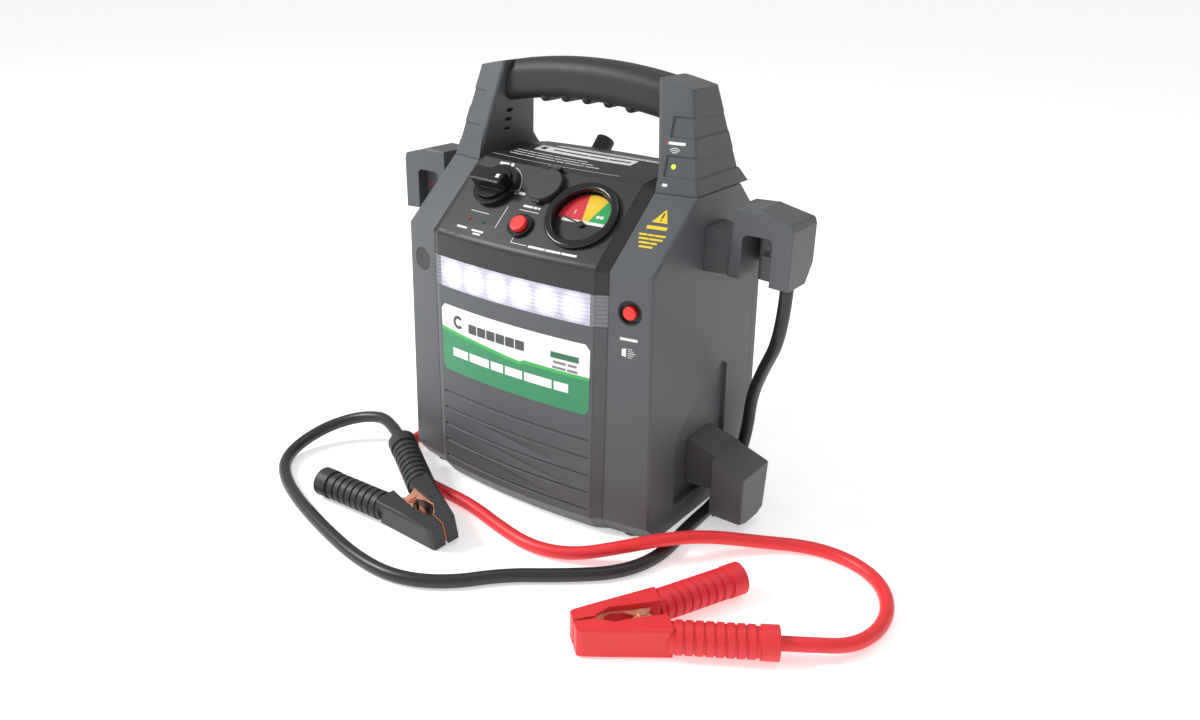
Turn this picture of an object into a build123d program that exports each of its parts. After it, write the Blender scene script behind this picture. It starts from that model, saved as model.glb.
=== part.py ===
"""Jump starter pack: a bowed plastic case with a carrying handle, an instrument console,
a work lamp, cable holders and two booster cables with clamps. Millimetres, +Z up, front is -Y,
origin under the middle of the case on the surface that it stands on."""
from build123d import *
import math
import os

# ---- case: driving dimensions --------------------------------------------------------------
foot_height = 2.0            # the feet stand this far below the case
wall = 3.0                   # moulded wall
seam_gap = 0.3               # gap along every case seam
front_y = -110.0             # front face of the side pillars, on the middle plane
rear_y = 108.0               # rear face of the case, on the middle plane
bow_radius = 685.0           # the front and the rear are bowed to this radius in plan
bend_z = 255.0               # the upright front turns into the console slope here
slope_deg = 41.0             # console slope above the horizontal
seam_z = 310.0               # top of the side shells, where the towers stand
base_half_width = 145.0      # half width at the floor
waist_half_width = 139.0     # half width from the bend upwards
panel_half_width = 100.0     # upright seams between the middle and the side shells
raised_half_width = 90.0     # the middle stands proud up to here, then bevels down
raise_height = 5.0           # how far the middle stands proud of the pillars
toe_depth = 12.0             # set-back of the front face at the floor
toe_height = 18.0            # height of that bevel
heel_depth = 6.0             # the same at the rear
heel_height = 12.0
rear_slope_y = 58.0          # the rear slope runs from here at the seam height
rear_slope_foot_z = 262.0    # to here at the rear face
cover_seam_y = 83.0          # seam between the side shells and the rear cover
deck_seam_y = 9.0            # seam across the deck
deck_top_z = 323.0           # crest of the deck, at that seam
crease_z = 316.0             # where the console slope meets the deck
deck_side_drop = 5.5         # the deck is this much lower at its side edges
edge_crease_drop = 4.5       # and the crease this much lower
bend_round = 8.0             # rounding of the console's lower edge

# ---- lamp ----------------------------------------------------------------------------------
lens_low_z = 205.6
lens_high_z = 234.5
lens_thickness = 2.5
led_count = 6

# ---- handle --------------------------------------------------------------------------------
handle_y = 7.0               # middle of the handle, front to back
handle_top_z = 409.0
handle_arc_radius = 504.0    # the handle's top line and the tower tops follow one arc
grip_width = 38.0
grip_height = 37.0
grip_corner = 14.0
core_width = 22.0
core_height = 20.0
tower_inner_x_low = 100.2    # inner face of a tower at its foot
tower_lean_z = 318.5         # it leans in from here
tower_inner_x_high = 84.6    # and at the top of the grip
tower_outer_x_high = 118.0
tower_shoulder_z = 395.0     # outer shoulder of a tower
tower_front_y_high = -21.0   # front face at the top of the grip, on the middle plane
tower_rear_y_high = 28.0
tower_waist_y = 44.5         # the rear face flares below this point
tower_waist_z = 324.0
band_depth = 1.2             # recessed bands on the towers
band_inner_x = 105.0
bands_z = [(356.0, 373.0), (324.0, 341.5)]

os.makedirs("parts", exist_ok=True)
tan_slope = math.tan(math.radians(slope_deg))
sin_slope = math.sin(math.radians(slope_deg))
cos_slope = math.cos(math.radians(slope_deg))
slope_top_y = front_y + (seam_z - bend_z) / tan_slope
front_axis_y = front_y + bow_radius
rear_axis_y = rear_y - bow_radius
bow_half_angle = 25.0
far = 400.0                  # longer than the case in any direction
built = {}


# ---- drawing helpers -----------------------------------------------------------------------
def inset(points, distance):
    """The corners of a closed outline moved inwards by a distance."""
    area = sum(a[0] * b[1] - b[0] * a[1] for a, b in zip(points, points[1:] + points[:1]))
    side = 1.0 if area > 0 else -1.0
    moved = []
    count = len(points)
    for i in range(count):
        before = points[i - 1]
        here = points[i]
        after = points[(i + 1) % count]
        a = Vector(here[0] - before[0], here[1] - before[1]).normalized()
        b = Vector(after[0] - here[0], after[1] - here[1]).normalized()
        na = Vector(-a.Y * side, a.X * side)
        nb = Vector(-b.Y * side, b.X * side)
        spread = 1.0 + na.dot(nb)
        moved.append((here[0] + distance * (na.X + nb.X) / spread,
                      here[1] + distance * (na.Y + nb.Y) / spread))
    return moved


def side_outline(points, x):
    """A face drawn in (y, z), standing at x."""
    plane = Plane(origin=(x, 0, 0), x_dir=(0, 1, 0), z_dir=(1, 0, 0))
    return plane * Polygon(*points, align=None)


def side_prism(points, x_low, x_high):
    """An outline drawn in (y, z), from one x to another."""
    return extrude(side_outline(points, x_low), x_high - x_low, dir=(1, 0, 0))


def front_prism(points, y_low, y_high):
    """An outline drawn in (x, z), from one y to another."""
    plane = Plane(origin=(0, y_high, 0), x_dir=(1, 0, 0), z_dir=(0, -1, 0))
    return extrude(plane * Polygon(*points, align=None), y_high - y_low, dir=(0, -1, 0))


def block(x_low, x_high, y_low, y_high, z_low, z_high):
    """A box from its limits."""
    box = Box(x_high - x_low, y_high - y_low, z_high - z_low, align=(Align.MIN,) * 3)
    return Pos(x_low, y_low, z_low) * box


def bowed(face, axis_y):
    """A side outline swept round the upright axis that gives the front or the rear its bow."""
    axis = Axis((0, axis_y, 0), (0, 0, 1))
    swept = revolve(face, axis, 2 * bow_half_angle)
    return swept.rotate(axis, -bow_half_angle)


def bow_shift(y, x, axis_y):
    """How far the bow moves a point of the middle outline, at x."""
    reach = abs(axis_y - y)
    shift = reach - math.sqrt(reach ** 2 - x ** 2)
    return shift if axis_y > y else -shift


def mirrored(shape):
    return mirror(shape, about=Plane.YZ)


def keep(name, shape):
    """Write one node."""
    built[name] = shape
    export_step(shape, f"parts/{name}.step")


def solids_of(*shapes):
    """Several loose solids as one node."""
    return Compound(children=[s for shape in shapes for s in shape.solids()])


# ---- case forms ----------------------------------------------------------------------------
bottom_z = foot_height
front_points = [(front_y + toe_depth, bottom_z), (front_y, toe_height), (front_y, bend_z),
                (slope_top_y, seam_z), (far, seam_z), (far, bottom_z)]
rear_points = [(-far, bottom_z), (-far, seam_z), (rear_slope_y, seam_z), (rear_y, rear_slope_foot_z),
               (rear_y, heel_height), (rear_y - heel_depth, bottom_z)]
width_points = [(-base_half_width, bottom_z), (-waist_half_width, bend_z), (-waist_half_width, seam_z),
                (waist_half_width, seam_z), (waist_half_width, bend_z), (base_half_width, bottom_z)]


def body_form(distance):
    """The whole case without the raised middle, inset by a distance."""
    front = bowed(side_outline(inset(front_points, distance), 0), front_axis_y)
    rear = bowed(side_outline(inset(rear_points, distance), 0), rear_axis_y)
    sides = front_prism(inset(width_points, distance), -far, far)
    return front & rear & sides


# Middle outlines: the raised one up to raised_half_width, the low one at panel_half_width.
raised_bend_z = bend_z + raise_height * (1 / cos_slope - tan_slope)
crease_y = front_y + (crease_z - bend_z) / tan_slope - raise_height / sin_slope
edge_crease_z = crease_z - edge_crease_drop
edge_crease_y = front_y + (edge_crease_z - bend_z) / tan_slope
raised_front = [(front_y - raise_height + toe_depth, bottom_z), (front_y - raise_height, toe_height),
                (front_y - raise_height, raised_bend_z), (crease_y, crease_z),
                (deck_seam_y, deck_top_z), (deck_seam_y, bottom_z)]
edge_front = [(front_y + toe_depth, bottom_z), (front_y, toe_height), (front_y, bend_z),
              (edge_crease_y, edge_crease_z), (deck_seam_y, deck_top_z - deck_side_drop),
              (deck_seam_y, bottom_z)]
seam_overrun = 18.0
bevel_sink = 0.15            # the bevel starts this far under the raised face
bevel_overlap = 0.3
rear_raise = 5.0
rear_crease_y = 62.0
raised_rear = [(deck_seam_y, bottom_z), (deck_seam_y, deck_top_z), (rear_crease_y, crease_z),
               (rear_y + rear_raise, rear_slope_foot_z + 6), (rear_y + rear_raise, heel_height),
               (rear_y + rear_raise - heel_depth, bottom_z)]
edge_rear = [(deck_seam_y, bottom_z), (deck_seam_y, deck_top_z - deck_side_drop),
             (rear_slope_y, seam_z + 1), (rear_y, rear_slope_foot_z + 1), (rear_y, heel_height),
             (rear_y - heel_depth, bottom_z)]


def middle_section(points, x, axis_y, bend_index):
    """One side outline of the raised middle where it crosses x, with its bend rounded."""
    shifted = [(y + bow_shift(y, x, axis_y), z) for y, z in points]
    if x == 0:
        shifted = points
    face = side_outline(shifted, x)
    if bend_index is None:
        return face
    corner = Vector(x, *shifted[bend_index])
    vertex = face.vertices().sort_by_distance(corner)[0]
    return fillet(vertex, bend_round)


def run_through(points):
    """A middle outline carried on past the deck seam, so that its hollow is open there."""
    carried = []
    for i, (y, z) in enumerate(points):
        if y != deck_seam_y:
            carried.append((y, z))
            continue
        away = -seam_overrun if max(p[0] for p in points) > deck_seam_y else seam_overrun
        top = [points[i - 1], points[(i + 1) % len(points)]]
        nearer = [p for p in top if p[0] != deck_seam_y][0]
        slope = (z - nearer[1]) / (y - nearer[0])
        carried.append((y + away, z + slope * away))
    return carried


def middle_form(raised, edge, axis_y, bend_index, distance):
    """The raised middle of the case, front or rear half, inset by a distance."""
    if distance > 0:
        raised = run_through(raised)
        edge = run_through(edge)
    raised_inset = inset(raised, distance)
    edge_inset = inset(edge, distance)
    x_core = raised_half_width
    x_edge = panel_half_width - seam_gap / 2 - distance
    reach = x_core if x_edge > x_core else x_edge
    core = bowed(middle_section(raised_inset, 0, axis_y, bend_index), axis_y)
    form = core & block(-reach, reach, -far, far, -far, far)
    sunk = inset(raised, distance + bevel_sink)
    start = middle_section(sunk, reach - bevel_overlap, axis_y, bend_index)
    end = middle_section(edge_inset, x_edge, axis_y, bend_index)
    bevel = loft([start, end], ruled=True)
    form = form + bevel + mirrored(bevel)
    return form


front_middle = middle_form(raised_front, edge_front, front_axis_y, 2, 0)
front_hollow = middle_form(raised_front, edge_front, front_axis_y, None, wall)
rear_middle = middle_form(raised_rear, edge_rear, rear_axis_y, None, 0)
rear_hollow = middle_form(raised_rear, edge_rear, rear_axis_y, None, wall)

# ---- side shells ---------------------------------------------------------------------------
half_gap = seam_gap / 2
hook_y_low = -23.0           # front and rear of a wrap hook's arm
hook_y_high = 20.0
recess_depth = 7.0           # the side wall is set back round the wrap hooks
recess_points = [(-52.0, 24.0), (-52.0, 96.0), (38.0, 150.0), (38.0, 24.0)]
boss_radius = 4.5
screw_radius = 2.0
screw_spots = [(126.0, 40.0), (126.0, 225.0)]
boss_length = 22.0
front_return_y = -80.0       # the front panel's floor runs back to here
lamp_button_z = 222.3
lamp_button_x = 119.6
lamp_well_radius = 11.0
lamp_well_depth = 4.0


def upright_frame(x, z):
    """The frame on a pillar's front face: z_dir points out of the face."""
    turn = math.asin(x / bow_radius)
    origin = (bow_radius * math.sin(turn), front_axis_y - bow_radius * math.cos(turn), z)
    return Plane(origin=origin, x_dir=(math.cos(turn), math.sin(turn), 0),
                 z_dir=(math.sin(turn), -math.cos(turn), 0))


def console_frame(x, up_slope):
    """The frame on the raised console slope at x and a distance up the slope from the bend."""
    y = front_y + up_slope * cos_slope - raise_height * sin_slope
    z = bend_z + up_slope * sin_slope + raise_height * cos_slope
    reach = front_axis_y - y
    turn = math.asin(x / reach)
    origin = (reach * math.sin(turn), front_axis_y - reach * math.cos(turn), z)
    normal = (sin_slope * math.sin(turn), -sin_slope * math.cos(turn), cos_slope)
    return Plane(origin=origin, x_dir=(math.cos(turn), math.sin(turn), 0), z_dir=normal)


def disc(frame, radius, low, high):
    """A round solid standing on a frame, between two heights along its normal."""
    return extrude(frame.offset(low) * Circle(radius), high - low)


def ring(frame, outer, inner, low, high):
    return disc(frame, outer, low, high) - disc(frame, inner, low - 1, high + 1)


body_outer = body_form(0)
body_hollow = body_form(wall)
pillar_edges = [e for e in body_outer.edges() if abs(abs(e.center().X) - 142) < 5
                and e.center().Y < front_y + 25 and e.length > 150]
slope_edges = [e for e in body_outer.edges() if abs(abs(e.center().X) - 139) < 2
               and e.center().Y < slope_top_y and 60 < e.length < 120]
body_outer = fillet(pillar_edges + slope_edges, 3.0)
recess_limit = waist_half_width + 20
recess_cut = side_prism(recess_points, base_half_width - recess_depth, recess_limit)
recess_backing = side_prism([(y, z) for y, z in inset(recess_points, -wall)],
                            base_half_width - recess_depth - wall, recess_limit)
recess_cut = chamfer(recess_cut.edges().filter_by(Axis.X).sort_by(Axis.Z)[-2:], 12)


def side_shell():
    """The right shell: pillar, side wall, its half of the floor and two screw bosses."""
    hollow = body_hollow - recess_backing
    shell = (body_outer - recess_cut) - hollow
    side = shell & block(panel_half_width + half_gap, far, -far, cover_seam_y - half_gap, 0, far)
    floor = shell & block(half_gap, panel_half_width + 1, front_return_y + half_gap,
                          cover_seam_y - half_gap, 0, bottom_z + wall + 1)
    side = side + floor
    for x, z in screw_spots:
        boss = Pos(x, cover_seam_y - half_gap - boss_length / 2, z) * Rot(90, 0, 0) * Cylinder(boss_radius, boss_length)
        web = block(x, base_half_width, cover_seam_y - half_gap - boss_length, cover_seam_y - half_gap,
                    z - 1.5, z + 1.5) & body_outer
        bore = Pos(x, cover_seam_y - 9, z) * Rot(90, 0, 0) * Cylinder(screw_radius, 20)
        side = side + boss + web - bore
    seat = disc(upright_frame(lamp_button_x, lamp_button_z), lamp_well_radius, -lamp_well_depth - wall, 5)
    return side - seat


right_shell = side_shell()
left_shell = mirrored(right_shell)
keep("right_side_shell", right_shell)
keep("left_side_shell", left_shell)

# ---- front panel ---------------------------------------------------------------------------
groove_first_z = 26.0
groove_pitch = 17.7
groove_count = 5
groove_depth = 1.6
groove_half_height = 1.3
groove_half_width = 87.0
middle_shell = front_middle - front_hollow
front_panel = middle_shell & block(-far, far, -far, front_return_y - half_gap, 0, lens_low_z - half_gap)
for i in range(groove_count):
    z = groove_first_z + groove_pitch * i
    face_y = front_y - raise_height
    notch = [(face_y - 1, z - groove_half_height - 0.8), (face_y + groove_depth, z - groove_half_height + 0.8),
             (face_y + groove_depth, z + groove_half_height), (face_y - 1, z + groove_half_height)]
    cut = bowed(side_outline(notch, 0), front_axis_y)
    front_panel = front_panel - (cut & block(-groove_half_width, groove_half_width, -far, 0, 0, far))
keep("front_panel", front_panel)

# ---- lamp ----------------------------------------------------------------------------------
lens_hollow = middle_form(raised_front, edge_front, front_axis_y, None, lens_thickness)
lens_block = block(-far, far, -far, front_y + 15, lens_low_z + half_gap, lens_high_z - half_gap)
lens = (front_middle - lens_hollow) & lens_block
keep("light_lens", lens)
tray_half_width = 88.0
tray_front_y = front_y + 4.6
tray_depth = 9.0
tray_wall = 2.0
tray = block(-tray_half_width, tray_half_width, tray_front_y, tray_front_y + tray_depth,
             lens_low_z + 0.6, lens_high_z - 0.6)
tray = tray - block(-tray_half_width + tray_wall, tray_half_width - tray_wall, tray_front_y - 1,
                    tray_front_y + tray_depth - tray_wall, lens_low_z + 0.6 + tray_wall, lens_high_z - 0.6 - tray_wall)
keep("light_reflector", tray)
board_thickness = 1.6
board_y = tray_front_y + tray_depth - tray_wall - board_thickness
led_board = block(-tray_half_width + 4, tray_half_width - 4, board_y, board_y + board_thickness,
                  lens_low_z + 5, lens_high_z - 5)
keep("light_led_board", led_board)
led_pitch = 28.0
led_size = 5.0
led_height = 1.6
leds = []
for i in range(led_count):
    x = (i - (led_count - 1) / 2) * led_pitch
    z = (lens_low_z + lens_high_z) / 2
    leds.append(block(x - led_size / 2, x + led_size / 2, board_y - led_height, board_y,
                      z - led_size / 2, z + led_size / 2))
keep("light_leds", solids_of(*leds))

# ---- console -------------------------------------------------------------------------------
gauge_x, gauge_up = 52.0, 45.5
gauge_radius = 34.5
gauge_window_radius = 27.0
gauge_case_radius = 30.5
switch_x, switch_up = -51.0, 57.0
switch_radius = 22.5
switch_neck_radius = 17.0
outlet_x, outlet_up = 2.0, 68.0
outlet_flange_radius = 17.0
outlet_outer_radius = 13.0
outlet_bore_radius = 10.5
test_x, test_up = -1.0, 23.3
test_collar_radius = 12.0
test_button_radius = 8.0
led_spots = [(-61.0, 19.0), (-42.5, 19.0)]
indicator_radius = 1.5
fit_gap = 0.3                # clearance of a fixed piece in its hole
slide_gap = 0.08             # radial running clearance of a button
skirt = 13.0                 # the console's and the deck's side edges reach this far down
console = middle_shell & block(-far, far, -far, deck_seam_y - half_gap, lens_high_z + half_gap, far)
console = console - side_prism(inset(run_through(edge_front), skirt), -far, far)
gauge_frame = console_frame(gauge_x, gauge_up)
switch_frame = console_frame(switch_x, switch_up)
outlet_frame = console_frame(outlet_x, outlet_up)
test_frame = console_frame(test_x, test_up)
console = console - disc(gauge_frame, gauge_case_radius + fit_gap, -20, 20)
console = console - disc(switch_frame, switch_neck_radius + fit_gap, -20, 20)
console = console - disc(outlet_frame, outlet_outer_radius + fit_gap, -20, 20)
console = console - disc(test_frame, test_button_radius + 1.0 + fit_gap, -20, 20)
for x, up in led_spots:
    console = console - disc(console_frame(x, up), indicator_radius + 0.1, -20, 20)
keep("console", console)
rear_shell = rear_middle - rear_hollow
rear_deck = rear_shell & block(-far, far, deck_seam_y + half_gap, cover_seam_y - half_gap, crease_z - 60, far)
rear_deck = rear_deck - side_prism(inset(run_through(edge_rear), skirt), -far, far)
inlet_x = -37.0
inlet_y = 70.0
inlet_slope = math.atan2(crease_z - rear_slope_foot_z - 6, rear_y + rear_raise - rear_crease_y)
inlet_z = crease_z - (inlet_y - rear_crease_y) * math.tan(inlet_slope)
inlet_frame = Plane(origin=(inlet_x, inlet_y, inlet_z), x_dir=(1, 0, 0),
                    z_dir=(0, math.sin(inlet_slope), math.cos(inlet_slope)))
inlet_radius = 7.0
rear_deck = rear_deck - disc(inlet_frame, inlet_radius + fit_gap, -20, 20)
keep("rear_deck", rear_deck)

# ---- rear cover ----------------------------------------------------------------------------
rear_rib_count = 6
rear_rib_pitch = 24.0
rear_rib_first_z = 50.0
rear_rib_half_width = 78.0
cover_shell = (body_outer + rear_middle) - (body_hollow + rear_hollow)
cover = cover_shell & block(-far, far, cover_seam_y + half_gap, far, 0, seam_z)
for i in range(rear_rib_count):
    z = rear_rib_first_z + rear_rib_pitch * i
    face_y = rear_y + rear_raise
    rib = [(face_y - 1.5, z - 4), (face_y + 2, z - 2), (face_y + 2, z + 2), (face_y - 1.5, z + 4)]
    band = bowed(side_outline(rib, 0), rear_axis_y)
    cover = cover + (band & block(-rear_rib_half_width, rear_rib_half_width, 0, far, 0, far))
screws = []
screw_head_radius = 3.8
screw_seat = 4.0
cover_outer = (body_outer + rear_middle) & block(-far, far, cover_seam_y + half_gap, far, 0, seam_z)
for side in (-1, 1):
    for x, z in screw_spots:
        spot = Pos(side * x, 0, z) * Rot(90, 0, 0)
        sleeve = Pos(0, cover_seam_y + 20, 0) * spot * Cylinder(screw_head_radius + fit_gap + 2, 60)
        channel = Pos(0, cover_seam_y + screw_seat + 20, 0) * spot * Cylinder(screw_head_radius + fit_gap, 40)
        shank_hole = Pos(0, cover_seam_y, 0) * spot * Cylinder(screw_radius + 0.2, 20)
        cover = cover + (sleeve & cover_outer) - channel - shank_hole
        head = Pos(0, cover_seam_y + screw_seat + 1.1, 0) * spot * Cylinder(screw_head_radius, 2.2)
        shank = Pos(0, cover_seam_y + screw_seat - 8, 0) * spot * Cylinder(screw_radius - 0.05, 16)
        screws.append(head + shank)
keep("rear_cover", cover)
keep("cover_screws", solids_of(*screws))

# ---- towers --------------------------------------------------------------------------------
tower_front = [(slope_top_y, seam_z + seam_gap), (tower_front_y_high, handle_top_z), (far, handle_top_z),
               (far, seam_z + seam_gap)]
tower_rear = [(-far, seam_z + seam_gap), (-far, handle_top_z), (tower_rear_y_high - 2, handle_top_z),
              (tower_waist_y, tower_waist_z), (rear_slope_y, seam_z + seam_gap)]
lean = (tower_inner_x_low - tower_inner_x_high) / (handle_top_z - 8 - tower_lean_z)
lean_end_z = handle_top_z + 10
lean_end_x = tower_inner_x_low - lean * (lean_end_z - tower_lean_z)
tower_face = [(tower_inner_x_low, seam_z + seam_gap), (tower_inner_x_low, tower_lean_z), (lean_end_x, lean_end_z),
              (tower_outer_x_high, lean_end_z), (tower_outer_x_high, tower_shoulder_z),
              (waist_half_width - 1.0, seam_z + seam_gap)]
arc_centre_z = handle_top_z - handle_arc_radius


def tower_form(distance):
    """A tower, inset by a distance; its top follows the handle's arc."""
    front = bowed(side_outline(inset(tower_front, distance), 0), front_axis_y)
    rear = side_prism(inset(tower_rear, distance), 0, far)
    face = front_prism(inset(tower_face, distance), -far, far)
    crown = Pos(0, 0, arc_centre_z) * Rot(90, 0, 0) * Cylinder(handle_arc_radius - distance, 2 * far)
    return front & rear & face & crown


tower_round = 3.0
tower_outer = tower_form(0)
upright = [e for e in tower_outer.edges() if e.length > 60 and e.center().Z > tower_waist_z]
tower_outer = fillet(upright, tower_round)
for low, high in bands_z:
    band = block(band_inner_x, far, -far, far, low, high)
    band_core = tower_form(band_depth)
    tower_outer = tower_outer - ((tower_outer - band_core) & band)
core_corner = 6.0
core_middle_z = handle_top_z - grip_height / 2


def along_handle(width, height, corner, angle):
    """A rounded section swept along the handle's arc to both sides of the middle."""
    plane = Plane(origin=(0, handle_y, core_middle_z), x_dir=(0, 1, 0), z_dir=(1, 0, 0))
    section = plane * RectangleRounded(width, height, corner)
    axis = Axis((0, handle_y, arc_centre_z), (0, 1, 0))
    return revolve(section, axis, 2 * angle).rotate(axis, -angle)


core_angle = 12.0
core_end_angle = math.degrees(math.asin(104.0 / (core_middle_z - arc_centre_z)))
handle_core = along_handle(core_width, core_height, core_corner, core_end_angle)
core_hole = along_handle(core_width + 2 * fit_gap, core_height + 2 * fit_gap, core_corner, core_end_angle + 0.05)
tower_hollow = tower_form(wall)
right_tower = tower_outer - (tower_hollow & block(0, far, -far, far, 0, handle_top_z - 12))
right_tower = right_tower - core_hole
socket_wall = along_handle(core_width + 8, core_height + 8, core_corner, core_end_angle)
socket_wall = (socket_wall & block(panel_half_width - 14, 106, -far, far, 0, far) & tower_form(1.0)) - core_hole
right_tower = right_tower + socket_wall
left_tower = mirrored(right_tower)
slot_count = 3
slot_pitch = 9.0
for i in range(slot_count):
    z = 352.0 - slot_pitch * i
    left_tower = left_tower - block(-panel_half_width, -panel_half_width + 20, handle_y - 12, handle_y - 3, z, z + 3.2)
tower_led_spot = (112.0, 332.5)
tower_turn = math.asin(tower_led_spot[0] / bow_radius)
led_y = slope_top_y + (tower_led_spot[1] - seam_z) * (tower_front_y_high - slope_top_y) / (handle_top_z - seam_z)
led_y = led_y + bow_shift(led_y, tower_led_spot[0], front_axis_y) + band_depth
led_hole = Pos(tower_led_spot[0], led_y, tower_led_spot[1]) * Rot(90, 0, 0) * Cylinder(indicator_radius + 0.6, 14)
right_tower = right_tower - led_hole
keep("right_tower", right_tower)
keep("left_tower", left_tower)
keep("handle_core", handle_core)

# ---- grip ----------------------------------------------------------------------------------
ridge_count = 5
ridge_pitch = 24.0
ridge_radius = 5.0
ridge_drop = 1.0
grip = along_handle(grip_width, grip_height, grip_corner, core_angle)
for i in range(ridge_count):
    x = (i - (ridge_count - 1) / 2) * ridge_pitch
    drop = handle_arc_radius - math.sqrt(handle_arc_radius ** 2 - x ** 2)
    z = handle_top_z - grip_height + ridge_radius - ridge_drop - 2.0 - drop
    half = grip_width / 2 - grip_corner + 4
    ridge = Pos(x, handle_y, z) * Rot(90, 0, 0) * Cylinder(ridge_radius, 2 * half)
    ridge = ridge + Pos(x, handle_y - half, z) * Sphere(ridge_radius) + Pos(x, handle_y + half, z) * Sphere(ridge_radius)
    grip = grip + ridge
grip_limit = [(-tower_inner_x_low + seam_gap, tower_lean_z), (tower_inner_x_low - seam_gap, tower_lean_z),
              (lean_end_x - seam_gap, lean_end_z), (seam_gap - lean_end_x, lean_end_z)]
grip = (grip & front_prism(grip_limit, -far, far)) - core_hole
keep("handle_grip", grip)

# ---- cable holders -------------------------------------------------------------------------
cable_radius = 6.0
cable_exit_x = 213.0
cable_exit_depth = 9.0
head_low_z = 241.0
head_inner_x = 164.0
head_outer_x = 222.0
head_front_y = -18.0
head_rear_y = 27.0
head_face = [(head_inner_x, head_low_z + 3), (head_inner_x + 3, 305), (190, 306.5), (head_outer_x - 2, 298),
             (head_outer_x, 292), (head_outer_x, head_low_z)]
head_side = [(head_front_y, head_low_z), (head_front_y, 304), (head_front_y + 3, 307), (head_rear_y - 8, 307),
             (head_rear_y, 296), (head_rear_y, 258), (head_rear_y - 12, head_low_z)]
head = front_prism(head_face, -100, 100) & side_prism(head_side, 100, 300)
wall_slope = (base_half_width - waist_half_width) / (bend_z - foot_height)
stub_low_z = 243.0
stub_root_x = waist_half_width + 0.05
stub_face = [(stub_root_x + wall_slope * (bend_z - stub_low_z), stub_low_z), (stub_root_x, bend_z), (stub_root_x, 282),
             (head_inner_x + 3, 276), (head_inner_x + 3, 245)]
stub = front_prism(stub_face, head_front_y + 2, head_rear_y - 7)
pocket_low_x = 176.0
pocket_high_x = 204.0
pocket_top_z = 283.0
pocket = block(pocket_low_x, pocket_high_x, head_front_y - 1, head_rear_y - 5, head_low_z - 5, pocket_top_z)
pocket = fillet(pocket.edges().filter_by(Axis.Y).sort_by(Axis.Z)[-2:], 5)
post = block(pocket_low_x + 9, pocket_high_x + 1, head_front_y + 13, head_rear_y, head_low_z + 1, pocket_top_z + 1)
post = fillet(post.edges().filter_by(Axis.Z).sort_by(Axis.Y)[:1], 5)
holder = head + stub
holder = fillet([e for e in holder.edges() if e.length > 40 and e.center().Z > 297], 2.0)
holder = (holder - pocket) + (post & head)
cable_hole = Pos(cable_exit_x, 0, head_low_z - 1) * Cylinder(cable_radius + 0.3, cable_exit_depth + 1,
                                                            align=(Align.CENTER, Align.CENTER, Align.MIN))
holder = holder - cable_hole
keep("right_cable_holder", holder)
keep("left_cable_holder", mirrored(holder))

# ---- wrap hooks ----------------------------------------------------------------------------
hook_root_x = base_half_width - recess_depth
hook_head_x = 170.0
hook_end_x = 203.0
hook_face = [(hook_root_x + 0.05, 35), (hook_root_x + 0.05, 81), (hook_head_x, 72), (hook_end_x, 61), (hook_end_x, 10),
             (hook_head_x, 8), (hook_head_x, 37)]
hook_arm_side = [(hook_y_low, 0), (hook_y_low, 100), (hook_y_high, 100), (hook_y_high, 0)]
hook_head_side = [(hook_y_low - 7, 14), (hook_y_low - 7, 100), (hook_y_high, 100), (hook_y_high, 56),
                  (hook_y_high - 4, 14), (-4, 6)]
arm = front_prism(hook_face, hook_y_low, hook_y_high) & block(0, hook_head_x + 1, -far, far, 0, far)
hook_head = front_prism(hook_face, -100, 100) & side_prism(hook_head_side, hook_head_x, hook_end_x)
hook_head = fillet([e for e in hook_head.edges() if e.center().X > hook_head_x + 1], 2.0)
hook = arm + hook_head
keep("right_wrap_hook", hook)
keep("left_wrap_hook", mirrored(hook))

# ---- charge meter --------------------------------------------------------------------------
flange_gap = 0.1             # a flange sits this far above the tangent of the curved slope
gauge_depth = 22.0
gauge_rim_height = 4.5
gauge_case_wall = 2.5
rim_rounding = 2.2
case_bore = gauge_case_radius - gauge_case_wall
gauge_case = ring(gauge_frame, gauge_radius, gauge_window_radius, flange_gap, gauge_rim_height)
rim_top_edges = gauge_case.edges().sort_by(Axis(gauge_frame.origin, gauge_frame.z_dir))[-2:]
gauge_case = fillet(rim_top_edges, rim_rounding)
gauge_case = gauge_case + ring(gauge_frame, gauge_case_radius, case_bore, -gauge_depth, flange_gap + 0.5)
gauge_case = gauge_case + disc(gauge_frame, gauge_case_radius, -gauge_depth, -gauge_depth + 2)
keep("gauge_case", gauge_case)
keep("gauge_window", disc(gauge_frame, case_bore - 0.1, -1.6, 0.0))
dial_height = -4.3
needle_pivot = (0.0, -6.0)
needle_spindle_radius = 1.2
dial = disc(gauge_frame, case_bore - 0.1, dial_height - 1, dial_height)
dial = dial - gauge_frame * Pos(*needle_pivot, dial_height) * Cylinder(needle_spindle_radius + 0.05, 8)
keep("gauge_dial", dial)
needle_length = 22.0
needle_rest_deg = 165.0
hub = gauge_frame * Pos(*needle_pivot, dial_height + 1.3) * Cylinder(3.0, 2.2)
hub = hub + gauge_frame * Pos(*needle_pivot, dial_height - 0.5) * Cylinder(needle_spindle_radius, 4)
pointer = gauge_frame * Pos(*needle_pivot, dial_height + 1.6) * Rot(0, 0, needle_rest_deg)
pointer = pointer * Pos(needle_length / 2, 0, 0) * Box(needle_length, 1.2, 0.6)
keep("gauge_needle", hub + pointer)

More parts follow.
